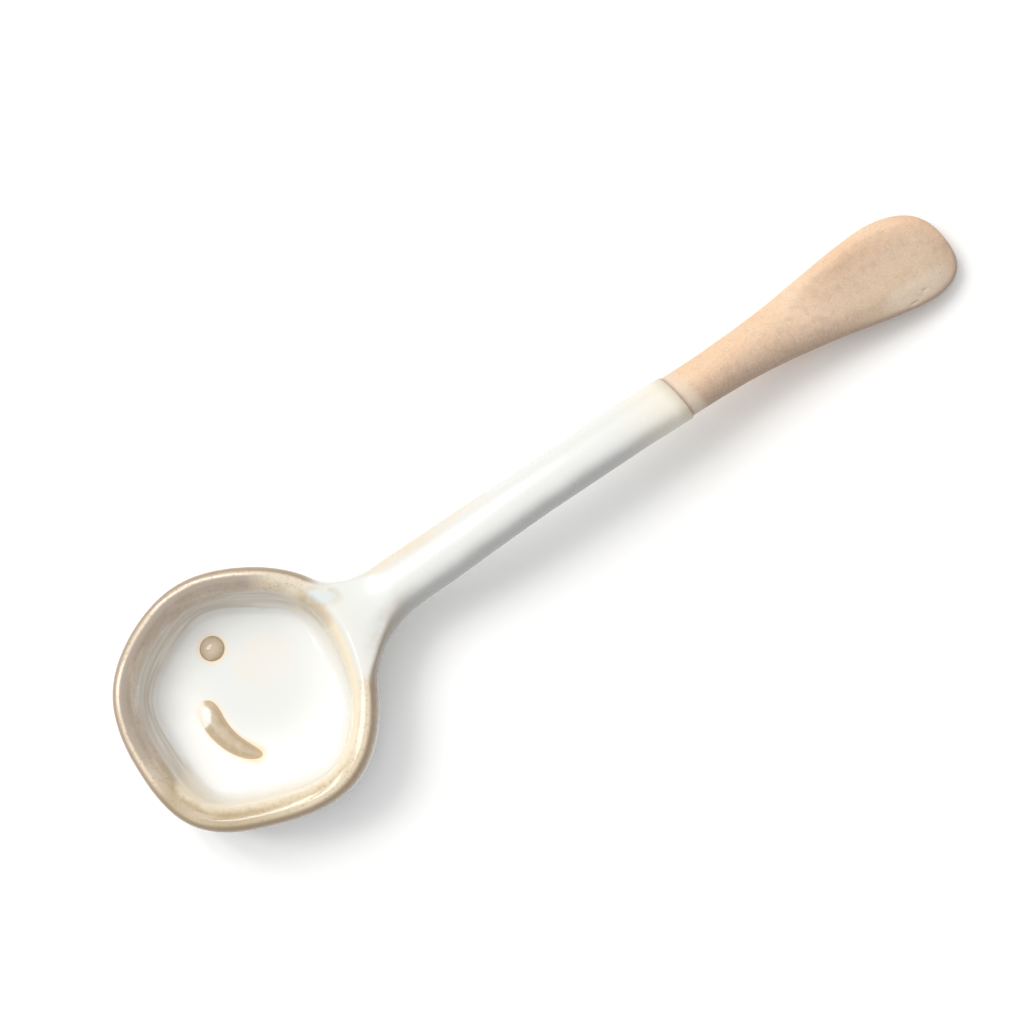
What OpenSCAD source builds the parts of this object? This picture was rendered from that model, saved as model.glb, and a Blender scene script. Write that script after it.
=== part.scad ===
// Hand-built ceramic serving spoon: a bowl pinched to six soft sides and a rolled
// handle with a flattened grip, luted together with slip, dipped in glaze up to the
// grip and decorated with two raised drops of glaze on the floor of the bowl.
// Millimetres. The origin is the centre of the foot, on the table. X runs along
// the handle to its tip, Y to the left of it and Z up.

/* [Pinched sides] */
// Direction of the front side, from the handle's line
front_turn = 180; // [170:1:190]
// Reach of the front side from the bowl's axis
front_reach = 23.3; // [20:0.1:30]
// Direction of the left front side
left_front_turn = 118; // [108:1:128]
// Reach of the left front side
left_front_reach = 24.8; // [20:0.1:30]
// Direction of the left back side
left_back_turn = 59; // [49:1:69]
// Reach of the left back side
left_back_reach = 24.4; // [20:0.1:30]
// Direction of the right front side
right_front_turn = 249; // [237:1:257]
// Reach of the right front side
right_front_reach = 23.7; // [20:0.1:30]
// Direction of the right back side
right_back_turn = 311; // [298:1:318]
// Reach of the right back side
right_back_reach = 26.2; // [20:0.1:30]
// Direction of the back side, where the handle joins
back_turn = -4; // [-14:1:6]
// Reach of the back side
back_reach = 25.2; // [20:0.1:30]
// How crisp the corners are at the rim
rim_crispness = 5; // [4:0.5:10]
// How crisp the corners are at the floor
floor_crispness = 9; // [4:0.5:14]

/* [Bowl] */
// Height of the rim's crest above the table
bowl_h = 15.5; // [13:0.5:24]
// Distance from the rim's outer edge in to its crest
lip_out = 1.1; // [0.8:0.1:1.6]
// Distance from the crest in to the inner wall
lip_in = 3.2; // [2:0.1:4]
// Fall of the lip from its crest to the outer wall
lip_drop = 1.5; // [1:0.1:2.5]
// Fall of the lip from its crest to the inner wall
lip_dip = 2.6; // [1.5:0.1:4]
// Thickness of the floor above the foot's pad
floor_t = 3; // [2.4:0.1:5]
// How far the inner wall leans in between its lip and the floor
wall_lean = 2.1; // [1:0.1:5]
// Offset of the floor's middle along the handle's line
floor_x = -0.6; // [-1.5:0.1:1.5]
// Offset of the floor's middle to the left
floor_y = 0.5; // [-1.5:0.1:1.5]
// Length of the rounding between the floor and the wall
floor_round = 3; // [1.5:0.1:4]
// Fullness of the outer wall's curve
belly = 2.8; // [2.4:0.05:3.2]
// Diameter of the foot
foot_d = 21; // [14:0.5:26]
// Height of the foot's pad
foot_h = 1.2; // [0.8:0.1:2.5]
// Lean of the foot's side
foot_lean = 0.6; // [0.2:0.1:1.5]

/* [Root of the handle] */
// Distance from the bowl's axis at which the stem has its own section
root_end = 37; // [35:0.5:46]
// Pull of the bowl's surface on the flare
flare_pull = 18; // [8:0.5:20]
// Thickness of the slip between the bowl and the handle
slip_t = 0.25; // [0.15:0.05:0.35]

/* [Handle] */
// Distance from the bowl's axis to the tip
tip_reach = 156.5; // [130:0.5:190]
// Width of the stem at its root
stem_w = 10; // [7:0.1:12]
// Thickness of the stem at its root
stem_t = 8; // [6:0.1:10]
// Width of the stem at its waist
waist_w = 9; // [6.5:0.1:12]
// Distance from the bowl's axis to the waist
waist_reach = 67; // [55:0.5:85]
// Width of the grip
grip_w = 19.4; // [13:0.1:24]
// How late the grip widens after the waist
grip_swell = 4.2; // [1:0.1:6]
// Thickness of the grip
grip_t = 6.2; // [5:0.1:9]
// Length over which the grip's end rounds off
tip_round = 14.5; // [8:0.5:18]
// Slant of the glaze line and of the tip in plan, in degrees
tip_slant = 8; // [0:1:20]
// Height of the stem's middle where it leaves the root
stem_z = 11.4; // [9:0.1:20]
// Pull of the arch after the root, above the stem's middle there
arch_rise = 9; // [2:0.5:16]
// Pull of the arch before the grip, above the grip's middle
arch_fall = 8; // [2:0.5:16]
// How far the tip's middle sinks below half the grip's thickness
tip_sink = 0.9; // [0.5:0.1:1.5]
// Offset of the stem to the left at the root
stem_y = 2.6; // [-3:0.1:4]
// Offset of the tip to the left
tip_y = 2.3; // [-6:0.1:6]
// Pull to the left after the root
bow_root = -0.5; // [-4:0.1:4]
// Pull to the left before the tip
bow_tip = 2.2; // [-4:0.1:6]
// Depth of the thumb hollow
thumb_d = 2.1; // [1:0.1:2.6]
// Length of the thumb hollow
thumb_l = 34; // [20:1:44]
// Distance from the tip to the deepest point of the thumb hollow
thumb_back = 17; // [12:0.5:26]
// Offset of the deepest point to the left, as a share of half the grip's width
thumb_side = 0.25; // [0:0.05:0.3]
// Reach of the thumb hollow to the left of its deepest point, as such a share
thumb_left = 0.6; // [0.45:0.05:0.7]
// Reach of the thumb hollow to the right of its deepest point, as such a share
thumb_right = 0.9; // [0.6:0.05:1]

/* [Glaze] */
// Thickness of the glaze
glaze_t = 0.35; // [0.3:0.05:0.6]
// Distance from the bowl's axis to the glaze line on the handle
glaze_reach = 97; // [70:0.5:100]

/* [Drops on the floor] */
// Diameter of the round drop
dot_d = 4.8; // [3:0.1:6]
// Height of the round drop
dot_h = 1.1; // [0.6:0.1:1.8]
// Place of the round drop along the handle's line
dot_x = -1.4; // [-3:0.1:3]
// Place of the round drop to the left
dot_y = 12.8; // [9:0.1:13]
// Radius of the crescent's middle line
crescent_r = 13; // [9:0.1:16]
// Angle that the crescent's middle line sweeps
crescent_sweep = 70; // [30:1:80]
// Direction of the crescent's middle, from its centre
crescent_turn = 194; // [180:1:210]
// Width of the crescent's broad end
crescent_w = 5; // [3:0.1:6]
// Width of the crescent's narrow end
crescent_end_w = 2.8; // [2:0.1:4]
// How blunt the crescent's ends are
crescent_blunt = 4; // [2:0.5:8]
// Height of the crescent
crescent_h = 1.1; // [0.6:0.1:1.8]
// Place of the crescent's middle along the handle's line
crescent_x = -8; // [-10:0.1:-5]
// Place of the crescent's middle to the left
crescent_y = -2.6; // [-6:0.1:0]

/* [Hidden] */

// Colours of the fired clay, the slip and the glaze
clay = [0.87, 0.72, 0.58];
slip = [0.80, 0.64, 0.50];
white_glaze = [0.95, 0.94, 0.91];
tan_glaze = [0.78, 0.68, 0.55];

sides = [
    [back_turn, back_reach],
    [left_back_turn, left_back_reach],
    [left_front_turn, left_front_reach],
    [front_turn, front_reach],
    [right_front_turn, right_front_reach],
    [right_back_turn, right_back_reach],
];

// Heights of the bowl's floor and of the lip's ends on the outer and the inner wall
floor_z = foot_h + floor_t;
lip_z = bowl_h - lip_drop;
dip_z = bowl_h - lip_dip;
foot_r = foot_d / 2;

// Steps of the bowl's grid: round the axis, and along the section from the
// middle of the floor over the lip to the foot
turns = 60;
floor_steps = 3;
round_steps = 3;
wall_steps = 2;
lip_in_steps = 4;
lip_out_steps = 2;
belly_steps = 9;
crest_row = floor_steps + round_steps + wall_steps + lip_in_steps - 1;
last_row = crest_row + lip_out_steps + belly_steps;

// Rows and columns of the bowl's grid that the handle's root covers
first_root_step = -4;
last_root_step = 4;
root_steps = 6;
root_row = crest_row + root_steps;

// The glaze is wiped back to this row round the foot
glaze_row = last_row - 1;

// Steps along the handle: the flare, the glazed stem and the bare grip
flare_steps = 6;
stem_steps = 13;
grip_steps = 18;
ease_steps = 3;
section_power = 2.1;
tip_power = 3.1;
edge_power = 4;
foot_trim = 0.4;

// Steps along the crescent, across it, and round the dot
crescent_steps = 20;
arch_steps = 8;
dot_turns = 48;

function unit(v) = v / norm(v);
function total(v) = [for (x = v) 1] * v;
function smooth(t) = let (u = min(1, max(0, t))) u * u * (3 - 2 * u);
function signed_power(v, p) = sign(v) * pow(abs(v), p);
function flip(faces) = [for (f = faces) [f[2], f[1], f[0]]];

// Two triangles for each step between two equal rows of point numbers
function strip(a, b) = [
    for (m = [0 : len(a) - 2])
        each [[a[m], a[m + 1], b[m + 1]], [a[m], b[m + 1], b[m]]]
];
function closed(row) = concat(row, [row[0]]);
function band(a, b) = strip(closed(a), closed(b));
function fan(row, pole) = [
    for (m = [0 : len(row) - 1]) [row[m], row[(m + 1) % len(row)], pole]
];

// Distance from the axis to the soft-cornered sides, all drawn in by inset
function outline(a, inset, crisp) =
    pow(total([for (s = sides) pow(max(0, cos(a - s[0])) / (s[1] - inset), crisp)]), -1 / crisp);

// Section of the bowl at one angle, as radius and height, under a coat
function section(a, coat) =
    let (
        crest_r = outline(a, lip_out, rim_crispness),
        rim = [lip_out + coat, lip_drop + coat],
        dip = [lip_in + coat, lip_dip + coat],
        inset = lip_out + lip_in + wall_lean,
        edge = [outline(a, inset, floor_crispness) + floor_x * cos(a) + floor_y * sin(a), floor_z + coat],
        slope = atan2((dip_z - edge[1]) * dip[0], (crest_r - dip[0] - edge[0]) * dip[1]),
        top = [crest_r - dip[0] * sin(slope), dip_z + dip[1] * cos(slope)],
        flat_r = edge[0] - floor_round,
        bend = edge + floor_round * unit(top - edge),
        belly_r = foot_r + foot_lean,
        belly_w = crest_r + rim[0] - belly_r,
        belly_h = lip_z - foot_h + coat
    )
    concat(
        [for (k = [1 : floor_steps]) [flat_r * k / floor_steps, edge[1]]],
        [for (k = [1 : round_steps]) let (t = k / round_steps)
            (1 - t) * (1 - t) * [flat_r, edge[1]] + 2 * t * (1 - t) * edge + t * t * bend],
        [for (k = [1 : wall_steps]) bend + (top - bend) * k / wall_steps],
        [for (k = [1 : lip_in_steps]) let (t = 90 + slope * (1 - k / lip_in_steps))
            [crest_r + dip[0] * cos(t), dip_z + dip[1] * sin(t)]],
        [for (k = [1 : lip_out_steps]) let (t = 90 * (1 - k / lip_out_steps))
            [crest_r + rim[0] * cos(t), lip_z + rim[1] * sin(t)]],
        [for (k = [1 : belly_steps]) let (t = 90 * k / belly_steps)
            [belly_r + belly_w * pow(cos(t), 2 / belly), lip_z - belly_h * pow(sin(t), 2 / belly)]]
    );

// The bowl's surface under a coat: one list of points for each row, in turns columns
function bowl_rows(coat) =
    let (sections = [for (i = [0 : turns - 1]) section(360 * i / turns, coat)])
    [for (j = [0 : last_row]) [
        for (i = [0 : turns - 1])
            let (a = 360 * i / turns, p = sections[i][j]) [p[0] * cos(a), p[0] * sin(a), p[1]]
    ]];
function column(i) = (i + turns) % turns;

// Rectangle of the bowl's grid that the root covers, and its border, which runs
// along the crest, down the left side, back along the belly and up the right side
root_columns = last_root_step - first_root_step;
border = concat(
    [for (i = [first_root_step : last_root_step - 1]) [i, crest_row]],
    [for (j = [crest_row : root_row - 1]) [last_root_step, j]],
    [for (i = [last_root_step : -1 : first_root_step + 1]) [i, root_row]],
    [for (j = [root_row : -1 : crest_row + 1]) [first_root_step, j]]
);
around = len(border);
function in_root(i, j) =
    column(i - first_root_step) < root_columns && j >= crest_row && j < root_row;

// Direction along the bowl's surface in which it leaves a border point for a goal
function leaving(rows, i, j, goal) =
    let (
        p = rows[j][column(i)],
        normal = unit(cross(rows[j][column(i + 1)] - rows[j][column(i - 1)],
            rows[j + 1][column(i)] - rows[j - 1][column(i)])),
        way = goal - p
    )
    unit(way - (way * normal) * normal);

// Middle line of the handle, from the end of the root at 0 to the tip at 1
tip_z = grip_t / 2 - tip_sink;
line_y = [stem_y, stem_y + bow_root, tip_y + bow_tip, tip_y];
line_z = [stem_z, stem_z + arch_rise, tip_z + arch_fall, tip_z];
function cubic(c, t) =
    pow(1 - t, 3) * c[0] + 3 * t * pow(1 - t, 2) * c[1] + 3 * t * t * (1 - t) * c[2]
    + pow(t, 3) * c[3];
function cubic_slope(c, t) =
    3 * pow(1 - t, 2) * (c[1] - c[0]) + 6 * t * (1 - t) * (c[2] - c[1]) + 3 * t * t * (c[3] - c[2]);
handle_l = tip_reach - root_end;
function middle(t) = [root_end + handle_l * t, cubic(line_y, t), cubic(line_z, t)];
function heading(t) = unit([handle_l, cubic_slope(line_y, t), cubic_slope(line_z, t)]);

// Half width, half thickness and thumb hollow of the handle at x, and the
// share of the hollow at a place across the grip, from -1 at the right to 1
function along(x, from, to) = smooth((x - from) / (to - from));
function closing(x, reach, power) =
    let (e = max(0, (x - tip_reach + reach) / reach)) pow(max(0, 1 - pow(e, power)), 1 / power);
function half_w(x) =
    (stem_w + (waist_w - stem_w) * along(x, root_end, waist_reach)
        + (grip_w - waist_w) * pow(along(x, waist_reach, tip_reach - tip_round / 2), grip_swell)) / 2
    * closing(x, tip_round, tip_power);
function half_t(x) =
    (stem_t + (grip_t - stem_t) * along(x, root_end, tip_reach - tip_round)) / 2
    * closing(x, tip_round / 2, edge_power);
function bell(e) = pow(max(0, 1 - e * e), 2);
function hollow(x) = thumb_d * bell((x - tip_reach + thumb_back) / thumb_l * 2);
function pressed(side) =
    let (away = side - thumb_side) bell(away / (away > 0 ? thumb_left : thumb_right));

// Angle round the handle's section of each border point: the crest, the left
// side, the belly and the right side of the root each take a quarter
function quarter(k, steps, start) = start - 90 * k / steps;
bearing = concat(
    [for (k = [0 : root_columns - 1]) quarter(k, root_columns, 135)],
    [for (k = [0 : root_steps - 1]) quarter(k, root_steps, 45)],
    [for (k = [0 : root_columns - 1]) quarter(k, root_columns, -45)],
    [for (k = [0 : root_steps - 1]) quarter(k, root_steps, -135)]
);

// Ring of points round the handle at t, under a coat
function handle_ring(t, coat) =
    let (
        c = middle(t),
        h = heading(t),
        w = half_w(c[0]) + coat,
        e = half_t(c[0]) + coat,
        slant = tan(tip_slant * smooth(t * handle_l / (glaze_reach - root_end))),
        across = unit([-h[1] - slant, h[0], 0]),
        up = unit(cross(h, [-h[1], h[0], 0]))
    )
    [for (b = bearing)
        let (
            side = signed_power(cos(b), 2 / section_power),
            press = sin(b) > 0 ? hollow(c[0]) * pressed(side) : 0,
            z = e * signed_power(sin(b), 2 / section_power) - press
        )
        c + w * side * across + z * up];

// Mean of a list's neighbours on both sides of place m, taken round its end
function eased(list, m) =
    unit(total([for (k = [-ease_steps : ease_steps]) list[(m + k + len(list)) % len(list)]]));

// Rings of the flare, from the border on the bowl to the first ring of the stem
function flare_rings(rows, coat) =
    let (
        stem = handle_ring(0, coat),
        go = heading(0),
        ways = [for (m = [0 : around - 1]) leaving(rows, border[m][0], border[m][1], stem[m])]
    )
    [for (k = [1 : flare_steps])
        let (
            t = k / flare_steps,
            a = (1 + 2 * t) * pow(1 - t, 2),
            b = t * pow(1 - t, 2),
            c = t * t * (3 - 2 * t),
            d = t * t * (t - 1)
        )
        [for (m = [0 : around - 1])
            let (p = rows[border[m][1]][column(border[m][0])])
            a * p + b * flare_pull * eased(ways, m) + c * stem[m] + d * flare_pull * go]
    ];

// Rings from the stem to the glaze line, and from there to the tip
glaze_at = (glaze_reach - root_end) / handle_l;
function stem_rings(coat) = [
    for (k = [1 : stem_steps]) handle_ring(glaze_at * k / stem_steps, coat)
];
function grip_rings(coat) = [
    for (k = [1 : grip_steps - 1])
        handle_ring(glaze_at + (1 - glaze_at) * sin(90 * k / grip_steps), coat)
];

// Numbers of the points of row j, or of the root's border, in a list of bowl rows
function row_numbers(first, j) = [for (i = [0 : turns - 1]) first + j * turns + i];
function border_numbers(first) = [for (b = border) first + b[1] * turns + column(b[0])];
function ring_numbers(first, k) = [for (m = [0 : around - 1]) first + k * around + m];

// Faces of the bowl's rows from the floor to the given row, open at the root
function bowl_faces(first, to_row, open_root) = [
    for (j = [0 : to_row - 1]) let (a = row_numbers(first, j), b = row_numbers(first, j + 1))
        for (i = [0 : turns - 1])
            if (!(open_root && in_root(i, j)))
                each strip([a[i], a[column(i + 1)]], [b[i], b[column(i + 1)]])
];

// Bands of faces from a starting ring through the rings that follow it
function tube_faces(start, first, count) = concat(
    band(start, ring_numbers(first, 0)),
    [for (k = [0 : count - 2]) each band(ring_numbers(first, k), ring_numbers(first, k + 1))]
);
function flat_list(rows) = [for (r = rows) each r];

// Points of the root's rectangle on the bowl under a coat, row by row
function root_points(rows) = [
    for (j = [crest_row : root_row]) for (i = [first_root_step : last_root_step]) rows[j][column(i)]
];
function root_number(b) = (b[1] - crest_row) * (root_columns + 1) + b[0] - first_root_step;
root_size = (root_columns + 1) * (root_steps + 1);
root_faces = [
    for (j = [0 : root_steps - 1]) let (a = j * (root_columns + 1), b = a + root_columns + 1)
        each strip([for (i = [0 : root_columns]) a + i], [for (i = [0 : root_columns]) b + i])
];
root_border = [for (b = border) root_number(b)];
function shift(faces, by) = [for (f = faces) [for (n = f) n + by]];

module bowl()
{
    rows = bowl_rows(0);
    count = (last_row + 1) * turns;
    foot = [for (i = [0 : turns - 1])
        let (a = 360 * i / turns) [foot_r * cos(a), foot_r * sin(a), -foot_trim]];
    points = concat(flat_list(rows), foot, [[0, 0, floor_z], [0, 0, -foot_trim]]);
    faces = concat(
        flip(fan(row_numbers(0, 0), count + turns)),
        bowl_faces(0, last_row, false),
        band(row_numbers(0, last_row), row_numbers(count, 0)),
        fan(row_numbers(count, 0), count + turns + 1)
    );
    color(clay)
        difference() {
            polyhedron(points, faces);
            ground();
        }
}

// Where the foot and the grip are rubbed flat on the table
module ground()
{
    size = 2 * tip_reach;
    translate([-size / 2, -size / 2, -size])
        cube(size);
}

module luting_slip()
{
    points = concat(root_points(bowl_rows(0)), root_points(bowl_rows(slip_t)));
    faces = concat(
        flip(root_faces),
        shift(root_faces, root_size),
        band(root_border, [for (n = root_border) n + root_size])
    );
    color(slip)
        polyhedron(points, faces);
}

module handle()
{
    rows = bowl_rows(slip_t);
    rings = concat(flare_rings(rows, 0), stem_rings(0), grip_rings(0));
    count = len(rings);
    points = concat(root_points(rows), flat_list(rings), [middle(1)]);
    faces = concat(
        flip(root_faces),
        tube_faces(root_border, root_size, count),
        fan(ring_numbers(root_size, count - 1), len(points) - 1)
    );
    color(clay)
        difference() {
            polyhedron(points, faces);
            ground();
        }
}

// Outer skin of the coat, then the same skin lying on the clay, joined along the
// glaze line and round the foot
module glaze_coat()
{
    outer_rows = bowl_rows(glaze_t);
    inner_rows = bowl_rows(0);
    slip_rows = bowl_rows(slip_t);
    outer_rings = concat(flare_rings(outer_rows, glaze_t), stem_rings(glaze_t));
    inner_rings = concat(flare_rings(slip_rows, 0), stem_rings(0));
    bowl_count = (glaze_row + 1) * turns;
    rings = len(outer_rings);
    outer_bowl = [for (j = [0 : glaze_row]) each outer_rows[j]];
    inner_bowl = [for (j = [0 : glaze_row]) each inner_rows[j]];
    slip_ring = [for (b = border) slip_rows[b[1]][column(b[0])]];

    tube_at = bowl_count;
    pole_at = tube_at + rings * around;
    inner_at = pole_at + 1;
    slip_at = inner_at + bowl_count;
    inner_tube_at = slip_at + around;
    inner_pole_at = inner_tube_at + rings * around;

    points = concat(
        outer_bowl, flat_list(outer_rings), [[0, 0, floor_z + glaze_t]],
        inner_bowl, slip_ring, flat_list(inner_rings), [[0, 0, floor_z]]
    );
    outer_faces = concat(
        flip(fan(row_numbers(0, 0), pole_at)),
        bowl_faces(0, glaze_row, true),
        tube_faces(border_numbers(0), tube_at, rings)
    );
    inner_faces = concat(
        flip(fan(row_numbers(inner_at, 0), inner_pole_at)),
        bowl_faces(inner_at, glaze_row, true),
        band(border_numbers(inner_at), ring_numbers(slip_at, 0)),
        tube_faces(ring_numbers(slip_at, 0), inner_tube_at, rings)
    );
    faces = concat(
        outer_faces,
        flip(inner_faces),
        band(row_numbers(0, glaze_row), row_numbers(inner_at, glaze_row)),
        band(ring_numbers(tube_at, rings - 1), ring_numbers(inner_tube_at, rings - 1))
    );
    color(white_glaze)
        polyhedron(points, faces);
}

module dot()
{
    rest = floor_z + glaze_t;
    ball_r = (dot_d * dot_d / 4 + dot_h * dot_h) / (2 * dot_h);
    color(tan_glaze)
        translate([dot_x, dot_y, rest])
            difference() {
                translate([0, 0, dot_h - ball_r])
                    sphere(ball_r, $fn = dot_turns);
                translate([-dot_d * 2, -dot_d * 2, -dot_d * 4])
                    cube(dot_d * 4);
            }
}

// Arched sections along the crescent's middle line, tapering to a rounded end
// at both sides and lying flat on the floor's glaze
function crescent_ring(t) =
    let (
        turn = crescent_turn + crescent_sweep * (t - 0.5),
        closed_by = pow(max(0, 1 - pow(abs(2 * t - 1), crescent_blunt)), 1 / 2),
        w = (crescent_w + (crescent_end_w - crescent_w) * t) / 2 * closed_by,
        h = crescent_h * closed_by,
        home = [crescent_x, crescent_y, floor_z + glaze_t]
            - crescent_r * [cos(crescent_turn), sin(crescent_turn), 0]
    )
    [for (k = [0 : arch_steps])
        let (b = 180 * k / arch_steps, r = crescent_r + w * cos(b))
        home + [r * cos(turn), r * sin(turn), h * sin(b)]];

module crescent()
{
    count = arch_steps + 1;
    rings = [for (k = [1 : crescent_steps - 1]) crescent_ring(k / crescent_steps)];
    ends = [crescent_ring(0)[0], crescent_ring(1)[0]];
    last = len(rings) * count;
    number = [for (k = [0 : len(rings) - 1]) [for (m = [0 : arch_steps]) k * count + m]];
    faces = concat(
        flip(fan(number[0], last)),
        [for (k = [0 : len(rings) - 2]) each band(number[k], number[k + 1])],
        fan(number[len(rings) - 1], last + 1)
    );
    color(tan_glaze)
        polyhedron(concat(flat_list(rings), ends), faces);
}

bowl();
luting_slip();
handle();
glaze_coat();
dot();
crescent();
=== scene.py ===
from math import cos, radians, sin
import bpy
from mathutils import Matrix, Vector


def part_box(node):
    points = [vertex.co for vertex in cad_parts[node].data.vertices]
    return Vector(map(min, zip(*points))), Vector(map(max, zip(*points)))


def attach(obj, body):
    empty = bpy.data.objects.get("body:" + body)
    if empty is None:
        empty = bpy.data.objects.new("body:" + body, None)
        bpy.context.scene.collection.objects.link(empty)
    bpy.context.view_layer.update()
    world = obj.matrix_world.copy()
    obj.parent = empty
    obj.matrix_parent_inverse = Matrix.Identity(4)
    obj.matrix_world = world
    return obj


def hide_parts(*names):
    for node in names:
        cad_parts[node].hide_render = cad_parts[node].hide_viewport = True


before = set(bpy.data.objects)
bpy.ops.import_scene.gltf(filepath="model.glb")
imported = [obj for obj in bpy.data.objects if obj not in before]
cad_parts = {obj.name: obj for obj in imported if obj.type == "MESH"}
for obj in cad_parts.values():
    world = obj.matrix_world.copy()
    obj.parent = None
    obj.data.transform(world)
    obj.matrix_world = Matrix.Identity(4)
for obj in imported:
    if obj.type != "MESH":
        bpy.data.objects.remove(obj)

from types import SimpleNamespace

import bmesh
import bpy
import numpy as np
from mathutils import Matrix, Vector

mm = 0.001
scene = bpy.context.scene
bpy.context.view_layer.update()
print("loaded the frame:", ", ".join(sorted(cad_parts)))


def tint(red, green, blue):  # 8-bit screen colour to the linear one that shaders take
    parts = [part / 255 for part in (red, green, blue)]
    return tuple(p / 12.92 if p < 0.04045 else ((p + 0.055) / 1.055) ** 2.4 for p in parts)


class Wire:
    # a socket that can stand in a Python sum: every operator adds one Math node
    def __init__(self, board, socket):
        self.board = board
        self.socket = socket

    def also(self, name):  # another output of the same node
        return Wire(self.board, self.socket.node.outputs[name])

    def then(self, operation, *others):  # a Math node with this wire as its first term
        return self.board.maths(operation, self, *others)

    def rise(self, low, high):  # smooth step, 0 at low and 1 at high
        return self.board.add("ShaderNodeMapRange", {"interpolation_type": "SMOOTHSTEP"},
                              {"Value": self, "From Min": low, "From Max": high})

    def __add__(self, other):
        return self.then("ADD", other)

    def __radd__(self, other):
        return self.board.maths("ADD", other, self)

    def __sub__(self, other):
        return self.then("SUBTRACT", other)

    def __rsub__(self, other):
        return self.board.maths("SUBTRACT", other, self)

    def __mul__(self, other):
        return self.then("MULTIPLY", other)

    def __rmul__(self, other):
        return self.board.maths("MULTIPLY", other, self)

    def __truediv__(self, other):
        return self.then("DIVIDE", other)

    def __rtruediv__(self, other):
        return self.board.maths("DIVIDE", other, self)

    def __pow__(self, other):
        return self.then("POWER", other)

    def __neg__(self):
        return self.then("MULTIPLY", -1)

    def __abs__(self):
        return self.then("ABSOLUTE")


class Board:
    # one node tree; add() makes any node: type, settings, then socket values or wires
    def __init__(self, tree):
        self.tree = tree
        tree.nodes.clear()

    def add(self, kind, settings=None, sockets=None, out=0):
        node = self.tree.nodes.new(kind)
        for name, value in (settings or {}).items():
            setattr(node, name, value)
        for key, value in (sockets or {}).items():
            socket = node.inputs[key]
            if isinstance(value, Wire):
                self.tree.links.new(value.socket, socket)
            elif socket.type == "RGBA" and len(value) == 3:
                socket.default_value = (*value, 1)
            else:
                socket.default_value = value
        return Wire(self, node.outputs[out]) if node.outputs else node

    def maths(self, operation, *terms):
        return self.add("ShaderNodeMath", {"operation": operation}, dict(enumerate(terms)))

    def vector(self, operation, *terms, out="Vector"):
        return self.add("ShaderNodeVectorMath", {"operation": operation}, dict(enumerate(terms)), out)

    def mix(self, share, first, second):  # numbers through a Mix node
        return self.add("ShaderNodeMix", sockets={0: share, 2: first, 3: second})

    def blend(self, share, first, second):  # colours through a Mix node
        return self.add("ShaderNodeMix", {"data_type": "RGBA"}, {0: share, 6: first, 7: second}, out=2)

    def noise(self, place, size, detail=2.0, out="Fac"):  # size is the length of one lump
        sockets = {"Vector": place, "Scale": 1 / size, "Detail": detail}
        return self.add("ShaderNodeTexNoise", sockets=sockets, out=out)

    def bump(self, height, strength, depth):
        return self.add("ShaderNodeBump", sockets={"Strength": strength, "Distance": depth, "Height": height})

    def split(self, vector):
        x = self.add("ShaderNodeSeparateXYZ", sockets={"Vector": vector})
        return x, x.also("Y"), x.also("Z")


def newTree(name, inputs):
    tree = bpy.data.node_groups.new(name, "GeometryNodeTree")
    for label, kind in inputs:
        tree.interface.new_socket(label, in_out="INPUT", socket_type="NodeSocket" + kind)
    tree.interface.new_socket("Geometry", in_out="OUTPUT", socket_type="NodeSocketGeometry")
    board = Board(tree)
    return board, board.add("NodeGroupInput", out=inputs[0][0])


def endTree(board, geometry, material):
    real = board.add("GeometryNodeRealizeInstances", sockets={"Geometry": geometry})
    smooth = board.add("GeometryNodeSetShadeSmooth", sockets={"Geometry": real})
    painted = board.add("GeometryNodeSetMaterial", sockets={"Geometry": smooth, "Material": material})
    board.add("NodeGroupOutput", sockets={"Geometry": painted})
    return board.tree


def runTree(piece, tree, values):  # the tree's result becomes the piece's plain mesh
    modifier = piece.modifiers.new(tree.name, "NODES")
    modifier.node_group = tree
    for item in tree.interface.items_tree:
        if item.in_out == "INPUT" and item.name in values:
            modifier[item.identifier] = values[item.name]
    bpy.context.view_layer.update()
    shape = piece.evaluated_get(bpy.context.evaluated_depsgraph_get())
    mesh = bpy.data.meshes.new_from_object(shape)
    piece.modifiers.remove(modifier)
    piece.data = mesh


def newPiece(name, mesh=None):
    piece = bpy.data.objects.new(name, mesh or bpy.data.meshes.new(name))
    scene.collection.objects.link(piece)
    return piece


# camera at the photograph's viewing angle: nearly straight down, the handle running up to the right
camera = {
    "tilt": 9,              # degrees away from straight down
    "roll": 33.2,           # degrees that the handle rises in the picture
    "distance": 450 * mm,
    "lens": 85.5,           # mm
    "sensor": 36,           # mm
    "aim": Vector((60.12, 2.13, 12)) * mm,
}


def placeCamera():
    tilt, roll = radians(camera["tilt"]), radians(camera["roll"])
    back = Vector((0, -sin(tilt), cos(tilt)))
    along = Vector((1, 0, 0))
    across = back.cross(along)
    right = along * cos(roll) - across * sin(roll)
    upward = along * sin(roll) + across * cos(roll)
    data = bpy.data.cameras.new("camera")
    data.lens = camera["lens"]
    data.sensor_width = camera["sensor"]
    data.clip_start, data.clip_end = 0.01, 20
    seat = bpy.data.objects.new("camera", data)
    turn = Matrix((right, upward, back)).transposed().to_4x4()
    seat.matrix_world = Matrix.Translation(camera["aim"] + back * camera["distance"]) @ turn
    scene.collection.objects.link(seat)
    scene.camera = seat
    return right, upward


pictureRight, pictureUp = placeCamera()
print("camera set")

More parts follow.
